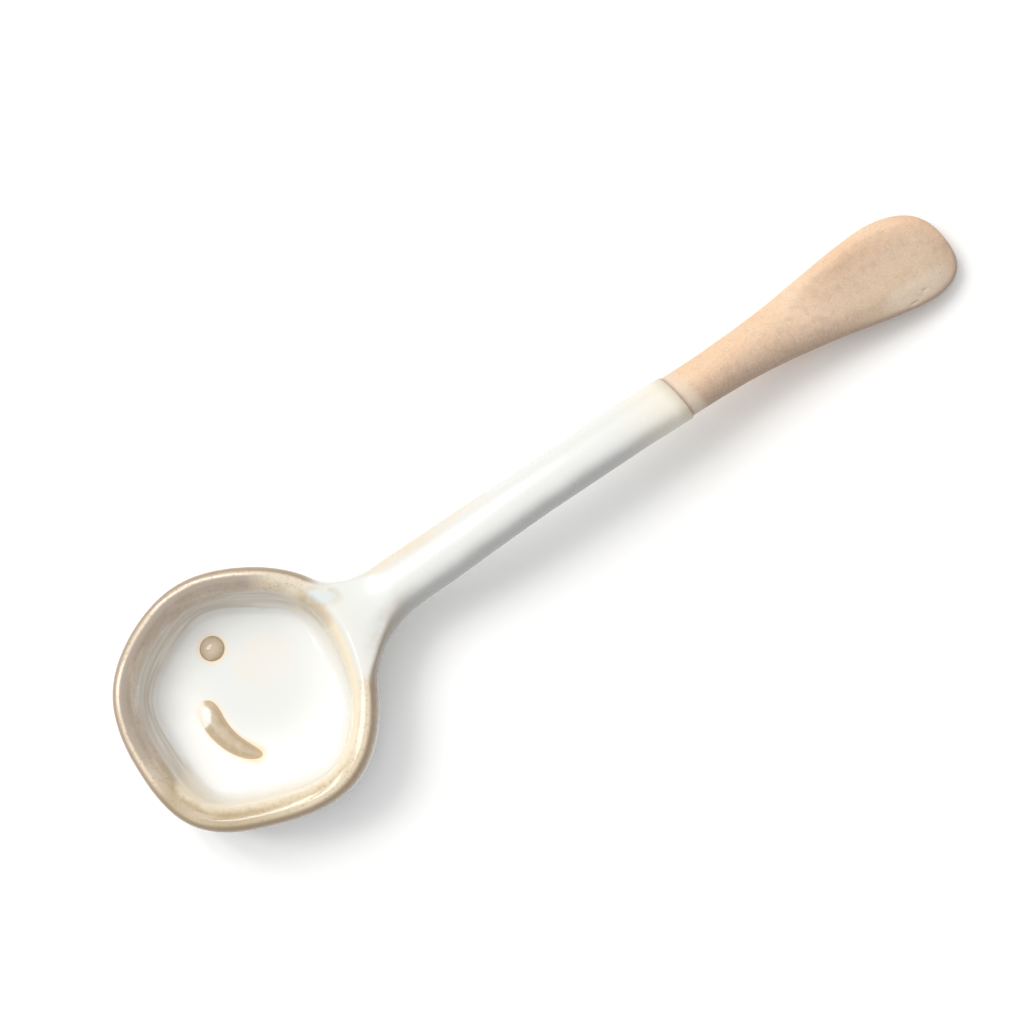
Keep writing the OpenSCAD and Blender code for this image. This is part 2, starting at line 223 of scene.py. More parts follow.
# soft studio light: three tall panes on the picture's upper left, a wide ceiling and dim even air
pane = {"height": 54, "colour": (1, 0.975, 0.945)}
studio = {
    "boxes": {  # bearing in the picture and height in degrees, size in metres
        "leftPane": {**pane, "bearing": 174, "size": (0.26, 0.8), "watts": 4.4},
        "middlePane": {**pane, "bearing": 148, "size": (0.12, 0.8), "watts": 2.9},
        "rightPane": {**pane, "bearing": 130, "size": (0.13, 0.8), "watts": 3.1},
        "ceiling": {"height": 80, "colour": (1, 0.99, 0.98), "bearing": 120, "size": (2.2, 2.2),
                    "watts": 16.5},
    },
    "distance": 1.5,
    "air": (0.95, 0.97, 1.0),
    "airStrength": 0.36,
}


def lightStudio():
    for name, box in studio["boxes"].items():
        data = bpy.data.lights.new(name, "AREA")
        data.shape = "RECTANGLE"
        data.size, data.size_y = box["size"]
        data.energy = box["watts"]
        data.color = box["colour"]
        lamp = bpy.data.objects.new(name, data)
        bearing, height = radians(box["bearing"]), radians(box["height"])
        level = pictureRight * cos(bearing) + pictureUp * sin(bearing)
        level.z = 0
        way = level.normalized() * cos(height) + Vector((0, 0, sin(height)))
        lamp.location = camera["aim"] + way * studio["distance"]
        lamp.rotation_euler = way.to_track_quat("Z", "Y").to_euler()
        scene.collection.objects.link(lamp)
    world = bpy.data.worlds.new("air")
    scene.world = world
    world.use_nodes = True
    board = Board(world.node_tree)
    air = board.add("ShaderNodeBackground", sockets={
        "Color": studio["air"], "Strength": studio["airStrength"]})
    board.add("ShaderNodeOutputWorld", sockets={"Surface": air})
    scene.view_settings.view_transform = "Standard"


lightStudio()
print("studio lit")


def newMaterial(name):
    material = bpy.data.materials.new(name)
    material.use_nodes = True
    board = Board(material.node_tree)
    spot = board.add("ShaderNodeTexCoord", out="Object")
    return material, board, spot


def coat(board, **sockets):  # a surface shader with its varying and fixed sockets
    names = {"colour": "Base Color", "rough": "Roughness", "normal": "Normal", "ior": "IOR"}
    values = {names[key]: value for key, value in sockets.items()}
    shader = board.add("ShaderNodeBsdfPrincipled", sockets=values)
    board.add("ShaderNodeOutputMaterial", sockets={"Surface": shader})


# the copy of a CAD node that a visible piece starts from: merged, quads again, hard edges creased
def nodeCopy(node, name, crease):
    mesh = bpy.data.meshes.new(name)
    bm = bmesh.new()
    bm.from_mesh(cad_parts[node].data)
    bmesh.ops.remove_doubles(bm, verts=bm.verts, dist=0.001 * mm)
    bmesh.ops.join_triangles(bm, faces=bm.faces, angle_face_threshold=radians(40),
                             angle_shape_threshold=radians(80), topology_influence=1)
    layer = bm.edges.layers.float.new("crease_edge")
    hardAngle = radians(70)
    for edge in bm.edges:
        if edge.calc_face_angle(0) > hardAngle:
            edge[layer] = crease
    bm.to_mesh(mesh)
    bm.free()
    return newPiece(name, mesh)


def handBuilt():  # smooths a faceted piece and lets its surface wander as hand-worked clay does
    board, start = newTree("handBuilt", [
        ("Geometry", "Geometry"), ("Levels", "Int"), ("Wander", "Float"), ("Wander Length", "Float"),
        ("Ripple", "Float"), ("Ripple Length", "Float"), ("Settled Height", "Float"),
        ("Material", "Material")])
    crease = board.add("GeometryNodeInputNamedAttribute", {"data_type": "FLOAT"},
                       {"Name": "crease_edge"}, "Attribute")
    smooth = board.add("GeometryNodeSubdivisionSurface", sockets={
        "Mesh": start, "Level": start.also("Levels"), "Edge Crease": crease})
    place = board.add("GeometryNodeInputPosition")
    height = board.split(place)[2]
    free = height.rise(0, start.also("Settled Height"))  # the foot stays flat on the table
    moves = []
    for size in ("Wander", "Ripple"):
        lump = board.noise(board.vector("DIVIDE", place, start.also(size + " Length")), 1, 1.0, "Color")
        centred = board.vector("SUBTRACT", lump, (0.5, 0.5, 0.5))
        moves.append(board.vector("MULTIPLY", centred, start.also(size) * free))
    moved = board.add("GeometryNodeSetPosition", sockets={
        "Geometry": smooth, "Offset": board.vector("ADD", *moves)})
    return endTree(board, moved, start.also("Material"))


handTree = handBuilt()
hand = {"Wander": 0.7 * mm, "Wander Length": 26 * mm, "Ripple": 0.12 * mm, "Ripple Length": 7 * mm,
        "Settled Height": 3 * mm}


def pressDents(mesh, dents):  # small hollows pressed into a finished mesh: place, size and depth in mm
    count = len(mesh.vertices)
    points, normals = np.empty(3 * count, np.float32), np.empty(3 * count, np.float32)
    mesh.vertices.foreach_get("co", points)
    mesh.vertices.foreach_get("normal", normals)
    points, normals = points.reshape(-1, 3), normals.reshape(-1, 3)
    for place, size, depth in dents:
        gap = (points / mm - np.array(place)) / np.array(size)
        points -= normals * (depth * mm * np.exp(-2 * (gap ** 2).sum(1)))[:, None]
    mesh.vertices.foreach_set("co", points.ravel())
    mesh.update()


def finishPiece(piece, slot, *nodes):
    piece.data.shade_smooth()
    piece.data.set_sharp_from_angle(angle=radians(55))
    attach(piece, "root")
    if nodes:
        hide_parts(*nodes)
    print("made", piece.name, len(piece.data.polygons), "faces")


def glazeEdge():  # middle and direction of the flat ring where the glaze stops on the handle
    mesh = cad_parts["glaze_coat"].data
    points = np.array([v.co for v in mesh.vertices])
    ringDepth = 1.8 * mm  # the ring slants, so it reaches this far back from its tip
    ring = points[points[:, 0] > points[:, 0].max() - ringDepth]
    middle = ring.mean(0)
    way = np.linalg.svd(ring - middle)[2][2]
    return Vector(middle), Vector(way * np.sign(way[0]))


edgeMiddle, edgeWay = glazeEdge()


def beyondEdge(board, spot):  # signed distance in mm past the glaze line
    away = board.vector("SUBTRACT", spot, tuple(edgeMiddle))
    return board.vector("DOT_PRODUCT", away, tuple(edgeWay), out="Value") / mm


# places and sizes of the two drops, in mm
dot = {"x": -1.4, "y": 12.8, "across": 4.8, "height": 1.1}
crescent = {
    "x": -8, "y": -2.6,     # middle of its arc
    "radius": 13,
    "sweep": 70,            # degrees
    "turn": 194,            # degrees, the way its middle faces
    "broad": 5, "narrow": 2.8,
    "broadCap": 0.19,       # radians by which the round ends draw in
    "narrowCap": 0.08,
    "height": 1.1,
    "blunt": 4,
}
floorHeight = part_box("dot")[0].z / mm


def dotGap(x, y):  # distance from the dot's edge
    return ((x - dot["x"]) ** 2 + (y - dot["y"]) ** 2) ** 0.5 - dot["across"] / 2


def crescentGap(x, y):  # distance from the crescent's edge, and the place along it from -1 to 1
    turn, radius, half = radians(crescent["turn"]), crescent["radius"], radians(crescent["sweep"] / 2)
    east = x - (crescent["x"] - radius * cos(turn))
    north = y - (crescent["y"] - radius * sin(turn))
    out = east * cos(turn) + north * sin(turn)
    side = north * cos(turn) - east * sin(turn)
    angle = side.then("ARCTAN2", out).then("MINIMUM", half - crescent["narrowCap"])
    angle = angle.then("MAXIMUM", crescent["broadCap"] - half)
    gap = ((out - radius * angle.then("COSINE")) ** 2 + (side - radius * angle.then("SINE")) ** 2) ** 0.5
    place = angle / half
    broad, narrow = crescent["broad"], crescent["narrow"]
    width = (broad + narrow) / 4 - place * (broad - narrow) / 4
    return gap - width, place


def near(x, y, place, wide, deep, turn=0, fade=(1.0, 0.15)):  # 1 at a place of the plan, 0 beyond it
    east, north, turn = x - place[0], y - place[1], radians(turn)
    along = east * cos(turn) + north * sin(turn)
    across = north * cos(turn) - east * sin(turn)
    return ((along / wide) ** 2 + (across / deep) ** 2).rise(*fade)


glaze = {
    "white": tint(241, 241, 238),
    "cool": tint(232, 235, 234),
    "floorShade": tint(221, 224, 222),
    "blush": tint(234, 220, 203),
    "halo": tint(238, 219, 186),
    "cream": tint(245, 233, 206),
    "lightWall": tint(238, 235, 229),
    "greyWall": tint(222, 214, 204),
    "darkWall": tint(204, 194, 183),
    "greenWall": tint(216, 217, 205),
    "brownWall": tint(205, 187, 168),
    "buffWall": tint(246, 233, 206),
    "paleLip": tint(217, 199, 168),
    "lightLip": tint(218, 204, 180),
    "blushLip": tint(226, 207, 182),
    "tan": tint(181, 160, 124),
    "greyTan": tint(184, 170, 156),
    "coreTan": tint(158, 142, 125),
    "warmTan": tint(198, 180, 153),
    "darkTan": tint(158, 137, 113),
    "brown": tint(158, 122, 92),
    "rootWhite": tint(226, 226, 218),
    "poolWhite": tint(216, 223, 222),
    # painted shade under the right edge, near the root
    "rootShadow": tint(168, 159, 150),
    "stemWhite": tint(228, 229, 225),
    "stemEdge": tint(228, 209, 180),
    # painted shade under the stem's right edge
    "stemShadow": tint(172, 172, 170),
    "gloss": 0.05,
    "satin": 0.2,                       # the stem is less shiny than the bowl
    "index": 1.55,
    "lumps": (9, 3, 1),                 # sizes in mm of its clouds, patches and mottling
    "grain": 0.6,
    # bearings round the bowl in degrees, then the cosines where the tone starts and where it is full
    "shadeSide": (113, -0.06, 0.28),    # the wall turned from the lamps: its glaze ran thin and grey there, and the grey is partly painted shade
    "lowSide": (237, 0.2, 0.95),        # where the tan runs lowest down the wall
    "paleSide": (-55, 0.3, 0.9),        # where the lip stays palest
    "lightSide": (34, 0.5, 0.85),       # the lightest lip, beside the root
    "greySide": (120, 0.1, 0.45),       # the greyest lip
    "rootBearing": 0.02,                # radians
    "rootWidth": (0.87, 0.96),
    # heights in mm, from where a tone starts to where it is full
    "rimHeight": 15.85,
    "onFloor": (6, 5),
    "nearFloor": (7, 5.5),
    "offFloor": (5.2, 7),
    "onRoot": (9.5, 13),
    "onLip": (11.5, 13.5),
    "onRim": (12.5, 13.5),
    # distances in mm from the middle of the bowl, likewise
    "bowlEnd": (28.5, 26.5),
    "rootStart": (17, 21),
    # distances in mm along the handle
    "rootEnd": (36, 24),
    "cornerStart": (18, 22),
    "cornerEnd": (40, 27),
    "shadowStart": (19, 27),
    "shadowGrey": (24, 42),
    "stemStart": (22, 34),
    "warmStart": (22, 36),
    "warmEnd": (64, 40),
    # places on the plan, in mm and degrees
    # painted shade: the floor greyer over its middle
    "floorShadePlace": {"place": (3.5, 3.5), "wide": 15.5, "deep": 15.5},
    "haze": {"place": (5.5, 5.5), "wide": 7.5, "deep": 6.5},                 # faint and warm, on the floor
    "pool": {"place": (22, 8), "wide": 3.2, "deep": 1.5, "turn": -33},       # white, beside the root
    "ring": {"place": (22, 8), "wide": 5.0, "deep": 2.6, "turn": -33},       # tan, round the pool
    "smear": {"place": (19.6, 6.8), "wide": 5.5, "deep": 2.4, "turn": 110},  # tan, on the wall below it
}


def toward(at, bearing, low, high):  # by how far round the bowl a place lies from a bearing
    return ((at.bearing - radians(bearing)).then("COSINE") + (at.cloud - 0.5) * 0.5).rise(low, high)


def readGlaze(board, spot):  # the places, directions and noises that the tones of the glaze share
    x, y, z = (part / mm for part in board.split(spot))
    nx, ny, _ = board.split(board.add("ShaderNodeTexCoord", out="Normal"))
    reach = (x * x + y * y) ** 0.5
    span = reach + 0.001  # never 0
    at = SimpleNamespace(spot=spot, x=x, y=y, z=z, ny=ny)
    at.facing = (nx * x + ny * y) / span  # 1 on the outside wall, -1 on the inside
    at.bearing = y.then("ARCTAN2", x)
    at.bowl = reach.rise(*glaze["bowlEnd"])
    at.inside = (-at.facing).rise(0.12, 0.55) * at.bowl
    at.climb = (z - floorHeight) / (glaze["rimHeight"] - floorHeight)  # 0 on the floor, 1 on the rim
    at.cloud, at.patch, at.mottle = (board.noise(spot, size * mm, 3) for size in glaze["lumps"])
    at.grain = board.noise(spot, glaze["grain"] * mm, 2)
    at.blotch = (at.patch - 0.5) * 0.4 + (at.mottle - 0.5) * 0.25 + (at.cloud - 0.5) * 0.3
    level = board.add("ShaderNodeCombineXYZ", sockets={
        "X": x / span * 1.1, "Y": y / span * 1.1, "Z": z * 0.5})
    at.streak = board.noise(level, 1, 2.5)  # both run long and level round the wall
    at.vein = board.noise(board.vector("ADD", level, (7, 3, 5)), 0.6, 2)
    at.root = (at.bearing - glaze["rootBearing"]).then("COSINE").rise(*glaze["rootWidth"])
    at.root = at.root * reach.rise(*glaze["rootStart"])
    at.shade = toward(at, *glaze["shadeSide"])
    at.lower = toward(at, *glaze["lowSide"])
    at.stem = x.rise(*glaze["stemStart"])
    return at


def paintFloor(board, at):  # white, cooler where it pools, greyer in the middle as painted shade, with a faint haze there
    colour = board.blend(at.cloud.rise(0.35, 0.7) * 0.7, glaze["white"], glaze["cool"])
    onFloor = at.z.rise(*glaze["onFloor"])
    colour = board.blend(near(at.x, at.y, **glaze["floorShadePlace"]) * onFloor * 0.9, colour, glaze["floorShade"])
    haze = near(at.x, at.y, **glaze["haze"]) * onFloor * (at.patch + at.cloud - 0.35)
    return board.blend(haze * 0.4, colour, glaze["blush"])


def paintWall(board, at, colour):  # thin: grey in long streaks on one side, partly painted shade there, creamy on the other
    grey = board.blend(at.streak.rise(0.36, 0.6), glaze["darkWall"], glaze["greyWall"])
    grey = board.blend(at.streak.rise(0.54, 0.66) * 0.85, grey, glaze["lightWall"])
    grey = board.blend(at.vein.rise(0.48, 0.62) * at.climb.rise(0.1, 0.4) * 0.6, grey, glaze["brownWall"])
    grey = board.blend(at.vein.rise(0.46, 0.36) * 0.7, grey, glaze["greenWall"])
    wallClimb = at.climb + (at.streak - 0.5) * 0.35 + (at.cloud - 0.5) * 0.15
    at.wall = at.inside * board.mix(at.shade, wallClimb.rise(-0.05, 0.5), wallClimb.rise(0.03, 0.14))
    return board.blend(at.wall * 0.95, colour, board.blend(at.shade, glaze["buffWall"], grey))


def paintLip(board, at, colour):  # tan and blotchy where it runs thin over the lip, save at the root
    turned = at.facing + at.blotch * 0.8 + at.shade * 0.5 + at.lower * 0.3
    over = at.root * (at.facing + at.blotch * 1.5).rise(-0.75, -0.2)
    at.thin = turned.rise(-0.62, -0.12) * at.z.rise(*glaze["onLip"]) * at.bowl * (1 - over)
    rubbed = board.blend((at.blotch - at.facing).rise(0.25, 0.8), glaze["coreTan"], glaze["greyTan"])
    rubbed = board.blend(at.lower, rubbed, glaze["warmTan"])
    rubbed = board.blend((at.blotch * 0.3 - at.facing).rise(-0.12, 0.14), glaze["blushLip"], rubbed)
    lip = board.blend(toward(at, *glaze["paleSide"]), glaze["tan"], glaze["paleLip"])
    lip = board.blend(toward(at, *glaze["lightSide"]), lip, glaze["lightLip"])
    lip = board.blend(toward(at, *glaze["greySide"]), lip, rubbed)
    lip = board.blend((at.blotch * 3.5).rise(0.15, 0.9) * 0.5, lip, glaze["darkTan"])
    lip = board.blend(at.vein.rise(0.5, 0.36) * 0.35, lip, glaze["blushLip"])
    lip = board.blend(at.grain.rise(0.52, 0.7) * 0.45, lip, glaze["darkTan"])
    colour = board.blend(at.thin * 0.92, colour, lip)
    # tan a little way down the outside too, darkened there partly as painted shade, at the root only on its
    # right
    outer = at.facing.rise(0.15, 0.65) * (at.climb + at.blotch * 0.6).rise(0.66, 0.92) * at.bowl
    outer = outer * (1 - at.root * (-at.ny).rise(0.7, 0.2))
    return board.blend(outer * 0.85, colour, glaze["darkTan"])


def paintRoot(board, at, colour):  # thick and white, with a small pool beside it in a tan ring
    white = at.root * at.x.rise(*glaze["rootEnd"]) * at.facing.rise(-0.6, -0.2)
    colour = board.blend(white * 0.8, colour, glaze["rootWhite"])
    onRim = at.z.rise(*glaze["onRim"])
    pool = near(at.x, at.y, **glaze["pool"])
    ring = near(at.x, at.y, **glaze["ring"]) * (1 - pool) * (0.4 + at.blotch * 2.5)
    colour = board.blend(ring * onRim, colour, glaze["tan"])
    colour = board.blend(pool * onRim * 0.9, colour, glaze["poolWhite"])
    smear = near(at.x, at.y, **glaze["smear"]) * at.inside * at.z.rise(*glaze["offFloor"])
    return board.blend(smear * (0.6 + at.blotch), colour, glaze["warmTan"])


def paintStem(board, at, colour):  # a warm band along its left edge, and a greyer band of painted shade under its right edge
    colour = board.blend(at.stem * 0.9, colour, glaze["stemWhite"])
    left = (at.ny + (at.cloud - 0.5) * 0.9).rise(0.2, 1.0) * at.x.rise(*glaze["warmStart"])
    left = left * (at.x + (at.cloud + at.patch - 1) * 24).rise(*glaze["warmEnd"])
    colour = board.blend(left * 0.8, colour, glaze["stemEdge"])
    corner = (-at.ny + at.blotch * 0.5).rise(0.05, 0.55) * at.z.rise(*glaze["onRoot"])
    corner = corner * at.x.rise(*glaze["cornerStart"]) * at.x.rise(*glaze["cornerEnd"])  # right of the root: tan where the glaze breaks, partly painted shade
    colour = board.blend(corner * 0.85, colour, glaze["darkTan"])
    # painted shade under the right edge of the stem, browner towards the root
    shadow = board.blend(at.x.rise(*glaze["shadowGrey"]), glaze["rootShadow"], glaze["stemShadow"])
    right = (-at.ny + (at.cloud - 0.5) * 0.3).rise(0.28, 0.85) * at.x.rise(*glaze["shadowStart"])
    return board.blend(right * 0.8, colour, shadow)


def paintHalos(board, at, colour):  # yellow, where the drops bleed into the floor
    gap, place = crescentGap(at.x, at.y)
    halo = dotGap(at.x, at.y).rise(1.2, -0.4) + gap.rise(1.0, -0.4) * (0.75 + place * 0.35)
    return board.blend(halo * at.z.rise(*glaze["nearFloor"]) * (0.35 + at.patch), colour, glaze["halo"])


def paintLine(board, at, colour):  # warmer towards the glaze line and brown at its very edge
    past = beyondEdge(board, at.spot)
    colour = board.blend((past + at.cloud * 6).rise(-14, 3) * 0.5, colour, glaze["cream"])
    colour = board.blend((past + at.patch).rise(-2.6, 0.6) * 0.42, colour, glaze["tan"])
    return board.blend((past + at.mottle * 0.3).rise(-0.35, 0.1) * 0.6, colour, glaze["brown"])


def whiteGlaze():
    material, board, spot = newMaterial("whiteGlaze")
    at = readGlaze(board, spot)
    colour = paintFloor(board, at)
    for paint in (paintWall, paintLip, paintRoot, paintStem, paintHalos, paintLine):
        colour = paint(board, at, colour)
    rough = glaze["gloss"] + at.stem * glaze["satin"] * (0.5 + at.cloud)
    rough = rough + (at.thin + at.wall) * 0.04 + at.patch * 0.04
    bumps = (at.cloud * 0.4 + at.patch * 0.2 + at.mottle * 0.03) * at.bowl + at.streak * at.inside * 0.6
    coat(board, colour=colour, rough=rough, normal=board.bump(bumps, 0.3, 0.2 * mm), ior=glaze["index"])
    return material


clay = {
    "peach": tint(236, 200, 166),
    "pale": tint(240, 211, 181),
    "grey": tint(207, 183, 158),
    "flankShade": tint(176, 153, 135),
    "red": tint(222, 178, 148),
    "iron": tint(166, 128, 100),
    "dark": tint(122, 92, 70),
    "sand": tint(250, 236, 216),
    "paleClay": tint(226, 212, 194),
    "lumps": (11, 1.5, 0.45),     # sizes in mm of its clouds, mottling and grain
    # grits in the clay: size in mm, rarity, colour and strength
    "grits": [(0.6, 0.7, "iron", 0.3), (0.5, 0.6, "sand", 0.2), (0.9, 0.5, "grey", 0.5)],
    # places on the plan in mm: grey round the thumb hollow as painted shade, and pale near the lower edge
    "thumb": {"place": (145.5, 0.5), "wide": 21, "deep": 9, "fade": (1.1, 0.1)},
    "paleNearNicks": {"place": (146.5, -4.4), "wide": 10, "deep": 3.4, "fade": (1.0, 0.2)},
    # distances in mm along the handle and across it, from where a tone starts to where it is full
    "gripStart": (120, 130),
    "shadeLiftStart": (127, 143),
    "tipStart": (151, 160),
    "hollowLeft": (0.5, 3),
    "shadeLiftRight": (1.5, -2),
}


def bareClay():
    material, board, spot = newMaterial("bareClay")
    x, y, _ = (part / mm for part in board.split(spot))
    nx, ny, nz = board.split(board.add("ShaderNodeTexCoord", out="Normal"))
    cloud, mottle, grain = (board.noise(spot, size * mm, 3) for size in clay["lumps"])
    colour = board.blend((cloud + (mottle - 0.5) * 0.6).rise(0.3, 0.7), clay["peach"], clay["pale"])

    # grey round the thumb hollow and darker down the lower side, both painted shade; paler beside the hollow
    # and redder at the tip
    low = nx * 0.5 - ny * 0.87  # 1 where the surface faces the picture's lower right
    slope = (low * y.rise(*clay["hollowLeft"])).rise(0.02, 0.2) * x.rise(*clay["gripStart"])
    colour = board.blend(near(x, y, **clay["thumb"]) * (1 - slope * 0.35), colour, clay["grey"])
    colour = board.blend(near(x, y, **clay["paleNearNicks"]) * (mottle + 0.1) * 0.8, colour, clay["paleClay"])
    # less of the painted shade on the upward-facing lower half near the tip
    rubbed = x.rise(*clay["shadeLiftStart"]) * y.rise(*clay["shadeLiftRight"]) * nz.rise(0.5, 0.88)
    flankShade = (low + (mottle - 0.5) * 0.3).rise(-0.2, 0.62) * (0.9 - slope * 0.5)
    colour = board.blend(flankShade * (1 - rubbed * 0.92), colour, clay["flankShade"])
    tip = (x + y * 0.5).rise(*clay["tipStart"])
    colour = board.blend(tip * (cloud + mottle - 0.3) * 0.5, colour, clay["red"])

    for size, rarity, tone, share in clay["grits"]:
        sockets = {"Vector": spot, "Scale": 1 / (size * mm)}
        cell = board.add("ShaderNodeTexVoronoi", sockets=sockets, out="Distance")
        chance = board.split(cell.also("Color"))[0].rise(rarity, rarity + 0.02)
        reach = (cell + (grain - 0.5) * 0.3).rise(0.28, 0.08)
        colour = board.blend(reach * chance * share, colour, clay[tone])
    colour = board.blend(mottle.rise(0.48, 0.66) * 0.12, colour, clay["iron"])
    colour = board.blend(grain.rise(0.5, 0.68) * 0.09, colour, clay["iron"])
    colour = board.blend(grain.rise(0.48, 0.32) * 0.1, colour, clay["sand"])

    # the first few mm past the glaze line are paler, after a thin brown edge
    past = beyondEdge(board, spot)
    colour = board.blend((past - cloud * 2 + ny * 0.8).rise(2.6, 0.2) * 0.6, colour, clay["paleClay"])
    colour = board.blend((past - mottle * 0.4).rise(0.45, 0.05) * 0.3, colour, clay["iron"])
    bumps = grain * 0.5 + mottle * 0.4 + cloud
    coat(board, colour=colour, rough=0.78 + (grain - 0.5) * 0.2, normal=board.bump(bumps, 0.6, 0.12 * mm))
    return material


drops = {
    "body": tint(196, 179, 154),
    "deep": tint(185, 167, 141),     # the crescent is darker than the dot
    "rim": tint(176, 154, 125),
    "thinRim": tint(212, 184, 146),  # the crescent thins out to a warm edge, the dot keeps a dark one
    "cap": tint(212, 198, 176),
    "white": tint(240, 236, 226),
    "between": (4, 8),               # mm across the floor, from the crescent to the dot
    "runAndHighlight": (-10.2, 3.3),             # white glaze ran over the crescent's broad end here, and a painted highlight lies on it
    "runAndHighlightEdge": (3.0, 2.0),           # mm
    "sunk": 0.12 * mm,               # how far a drop reaches into the glaze
}


def tanDrop():
    material, board, spot = newMaterial("tanDrop")
    x, y, z = (part / mm for part in board.split(spot))
    patch = board.noise(spot, 1.6 * mm, 2)
    lift = z - floorHeight
    isDot = y.rise(*drops["between"])
    body = board.blend(isDot, drops["deep"], drops["body"])
    rim = board.blend(isDot, drops["thinRim"], drops["rim"])
    colour = board.blend((lift + (patch - 0.5) * 0.4).rise(0.0, 0.6), rim, body)
    colour = board.blend((patch + lift * 0.2).rise(0.45, 0.9) * 0.4, colour, drops["cap"])
    # white over the crescent's broad end: glaze that ran over it, partly a painted highlight
    east, north = x - drops["runAndHighlight"][0], y - drops["runAndHighlight"][1]
    runAndHighlight = (east ** 2 + north ** 2) ** 0.5 + (patch - 0.5) * 2
    colour = board.blend(runAndHighlight.rise(*drops["runAndHighlightEdge"]), colour, drops["white"])
    rough = 0.14 - isDot * 0.08 + patch * 0.1
    coat(board, colour=colour, rough=rough, normal=board.bump(patch, 0.2, 0.1 * mm), ior=glaze["index"])
    return material


def firedSlip():
    material, board, spot = newMaterial("firedSlip")
    cloud = board.noise(spot, 2 * mm, 3)
    colour = board.blend(cloud, clay["grey"], clay["peach"])
    coat(board, colour=colour, rough=0.8 + cloud * 0.1)
    return material


def ironSpeck():
    material, board, spot = newMaterial("ironSpeck")
    tone = board.noise(spot, 2.5 * mm, 2)
    colour = board.blend(tone.rise(0.35, 0.65), clay["dark"], clay["iron"])
    coat(board, colour=colour, rough=0.4 + tone * 0.3)
    return material


whiteMaterial, clayMaterial = whiteGlaze(), bareClay()
tanMaterial, slipMaterial, ironMaterial = tanDrop(), firedSlip(), ironSpeck()
print("materials mixed")


def makeBody(node, name, slot, material, crease, levels=2, dents=()):
    piece = nodeCopy(node, name, crease)
    runTree(piece, handTree, {**hand, "Levels": levels, "Material": material})
    if dents:
        pressDents(piece.data, dents)
    finishPiece(piece, slot, node)
    return piece


# clay bowl under the glaze: only its foot is bare
bowl = {"name": "clayBowl", "slot": "clay", "material": clayMaterial, "crease": 0.6}
makeBody("bowl", **bowl)

slip = {"name": "lutingSlip", "slot": "slip", "material": slipMaterial, "crease": 0.2}
makeBody("luting_slip", **slip)

# clay handle: the grip is bare, with nicks and finger marks near its lower edge
handle = {
    "name": "clayHandle", "slot": "clay", "material": clayMaterial, "crease": 0.5, "levels": 3,
    "dents": [
        ((147.4, -4.6, 5.6), (0.9, 0.34, 3), 0.22),
        ((146.5, -5.1, 5.6), (0.4, 0.45, 3), 0.16),
        ((144.6, -5.6, 5.6), (1.0, 0.3, 3), 0.16),
        ((141.9, -6.2, 5.6), (1.1, 0.3, 3), 0.12),
    ],
}
handlePiece = makeBody("handle", **handle)

glazeSkin = {"name": "glazeCoat", "slot": "white_glaze", "material": whiteMaterial, "crease": 0.75}
glazePiece = makeBody("glaze_coat", **glazeSkin)


def glazeDrop():  # a drop of glaze that follows an arc, from a broad end to a narrow one
    board, radius = newTree("glazeDrop", [
        ("Arc Radius", "Float"), ("Sweep", "Float"), ("Turn", "Float"), ("Broad", "Float"),
        ("Narrow", "Float"), ("Height", "Float"), ("Blunt", "Float"), ("Sunk", "Float"),
        ("Middle", "Vector"), ("Material", "Material")])
    sweep, middleTurn, broad, narrow, height, blunt, sunk, middle, material = (
        radius.also(name) for name in ("Sweep", "Turn", "Broad", "Narrow", "Height", "Blunt", "Sunk",
                                       "Middle", "Material"))
    ball = board.add("GeometryNodeMeshUVSphere", sockets={
        "Segments": 64, "Rings": 48, "Radius": 1.0}, out="Mesh")
    up, side, along = board.split(board.add("GeometryNodeInputPosition"))
    girth = (up * up + side * side) ** 0.5 + 0.000001
    closing = (1 - abs(along) ** blunt).then("MAXIMUM", 0) ** 0.5
    width = (broad + (narrow - broad) * (along * 0.5 + 0.5)) * 0.5
    turn = middleTurn + sweep * along * 0.5
    reach = radius + side / girth * closing * width
    slope = up / girth
    top = (slope * closing).then("MAXIMUM", 0) ** 1.5
    bottom = slope.then("MINIMUM", 0) * closing
    offset = board.add("ShaderNodeCombineXYZ", sockets={
        "X": reach * turn.then("COSINE") - radius * middleTurn.then("COSINE"),
        "Y": reach * turn.then("SINE") - radius * middleTurn.then("SINE"),
        "Z": top * height + bottom * sunk})
    shaped = board.add("GeometryNodeSetPosition", sockets={
        "Geometry": ball, "Position": board.vector("ADD", offset, middle)})
    return endTree(board, shaped, material)


dropTree = glazeDrop()


def makeDrop(name, node, sizes):
    piece = newPiece(name)
    runTree(piece, dropTree, {**sizes, "Sunk": drops["sunk"], "Material": tanMaterial})
    runTree(piece, handTree, {**hand, "Levels": 0, "Material": tanMaterial})
    finishPiece(piece, "tan_glaze", node)


dotArc = 100  # mm, an arc so wide that the dot comes out round
makeDrop("dotDrop", "dot", {
    "Arc Radius": dotArc * mm, "Sweep": dot["across"] / dotArc, "Turn": 0.0, "Broad": dot["across"] * mm,
    "Narrow": dot["across"] * mm, "Height": dot["height"] * mm, "Blunt": 2.0,
    "Middle": Vector((dot["x"], dot["y"], floorHeight)) * mm})
makeDrop("crescentDrop", "crescent", {
    "Arc Radius": crescent["radius"] * mm, "Sweep": radians(crescent["sweep"]),
    "Turn": radians(crescent["turn"]), "Broad": crescent["broad"] * mm,
    "Narrow": crescent["narrow"] * mm, "Height": crescent["height"] * mm,
    "Blunt": float(crescent["blunt"]),
    "Middle": Vector((crescent["x"], crescent["y"], floorHeight)) * mm})


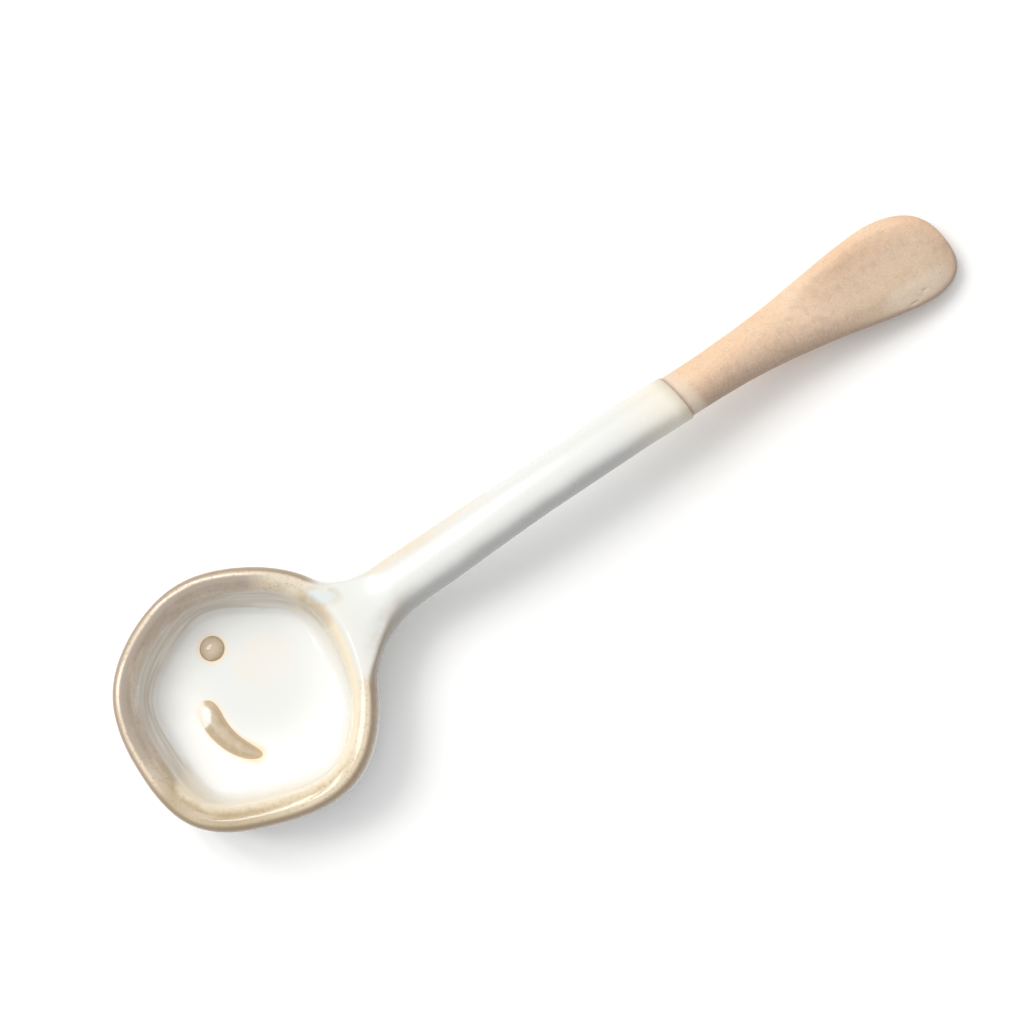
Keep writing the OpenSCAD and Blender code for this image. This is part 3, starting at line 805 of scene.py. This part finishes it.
def scatterSpecks():  # iron grains that show at a surface, between two ends and above a height
    board, start = newTree("specks", [
        ("Geometry", "Geometry"), ("From X", "Float"), ("To X", "Float"), ("Above Z", "Float"),
        ("Density", "Float"), ("Size", "Float"), ("Seed", "Int"), ("Material", "Material")])
    x, _, z = board.split(board.add("GeometryNodeInputPosition"))
    between = x.then("GREATER_THAN", start.also("From X")) * x.then("LESS_THAN", start.also("To X"))
    chosen = between * z.then("GREATER_THAN", start.also("Above Z"))
    points = board.add("GeometryNodeDistributePointsOnFaces", {"distribute_method": "RANDOM"}, {
        "Mesh": start, "Selection": chosen, "Density": start.also("Density"), "Seed": start.also("Seed")})
    grain = board.add("GeometryNodeMeshIcoSphere", sockets={"Radius": start.also("Size"), "Subdivisions": 2})
    spread = board.add("FunctionNodeRandomValue", {"data_type": "FLOAT_VECTOR"}, {
        "Min": (0.4, 0.4, 0.2), "Max": (1.0, 1.0, 0.35), "Seed": start.also("Seed")})  # flat grains
    grains = board.add("GeometryNodeInstanceOnPoints", sockets={
        "Points": points, "Instance": grain, "Rotation": points.also("Rotation"), "Scale": spread})
    return endTree(board, grains, start.also("Material"))


speckTree = scatterSpecks()
specks = {
    "gripSpecks": {"on": handlePiece, "slot": "clay", "From X": 101 * mm, "To X": 160 * mm,
                   "Above Z": -1 * mm, "Density": 16000.0, "Size": 0.12 * mm, "Seed": 4},
    "lipSpecks": {"on": glazePiece, "slot": "white_glaze", "From X": -30 * mm, "To X": 19 * mm,
                  "Above Z": 13.6 * mm, "Density": 9000.0, "Size": 0.14 * mm, "Seed": 11},
}
for name, sort in specks.items():
    piece = newPiece(name, sort["on"].data.copy())
    runTree(piece, speckTree, {**sort, "Material": ironMaterial})
    finishPiece(piece, sort["slot"])

floor = {"colour": tint(253, 253, 252), "cloud": tint(240, 240, 239), "rough": 0.9, "half": 10.0}


def paleFloor():
    material, board, spot = newMaterial("paleFloor")
    colour = board.blend(board.noise(spot, 0.4, 2) * 0.2, floor["colour"], floor["cloud"])
    coat(board, colour=colour, rough=floor["rough"])
    mesh = bpy.data.meshes.new("floor")
    corners = [(x * floor["half"], y * floor["half"], 0) for x, y in ((-1, -1), (1, -1), (1, 1), (-1, 1))]
    mesh.from_pydata(corners, [], [(0, 1, 2, 3)])
    mesh.materials.append(material)
    return newPiece("floor", mesh)


paleFloor()
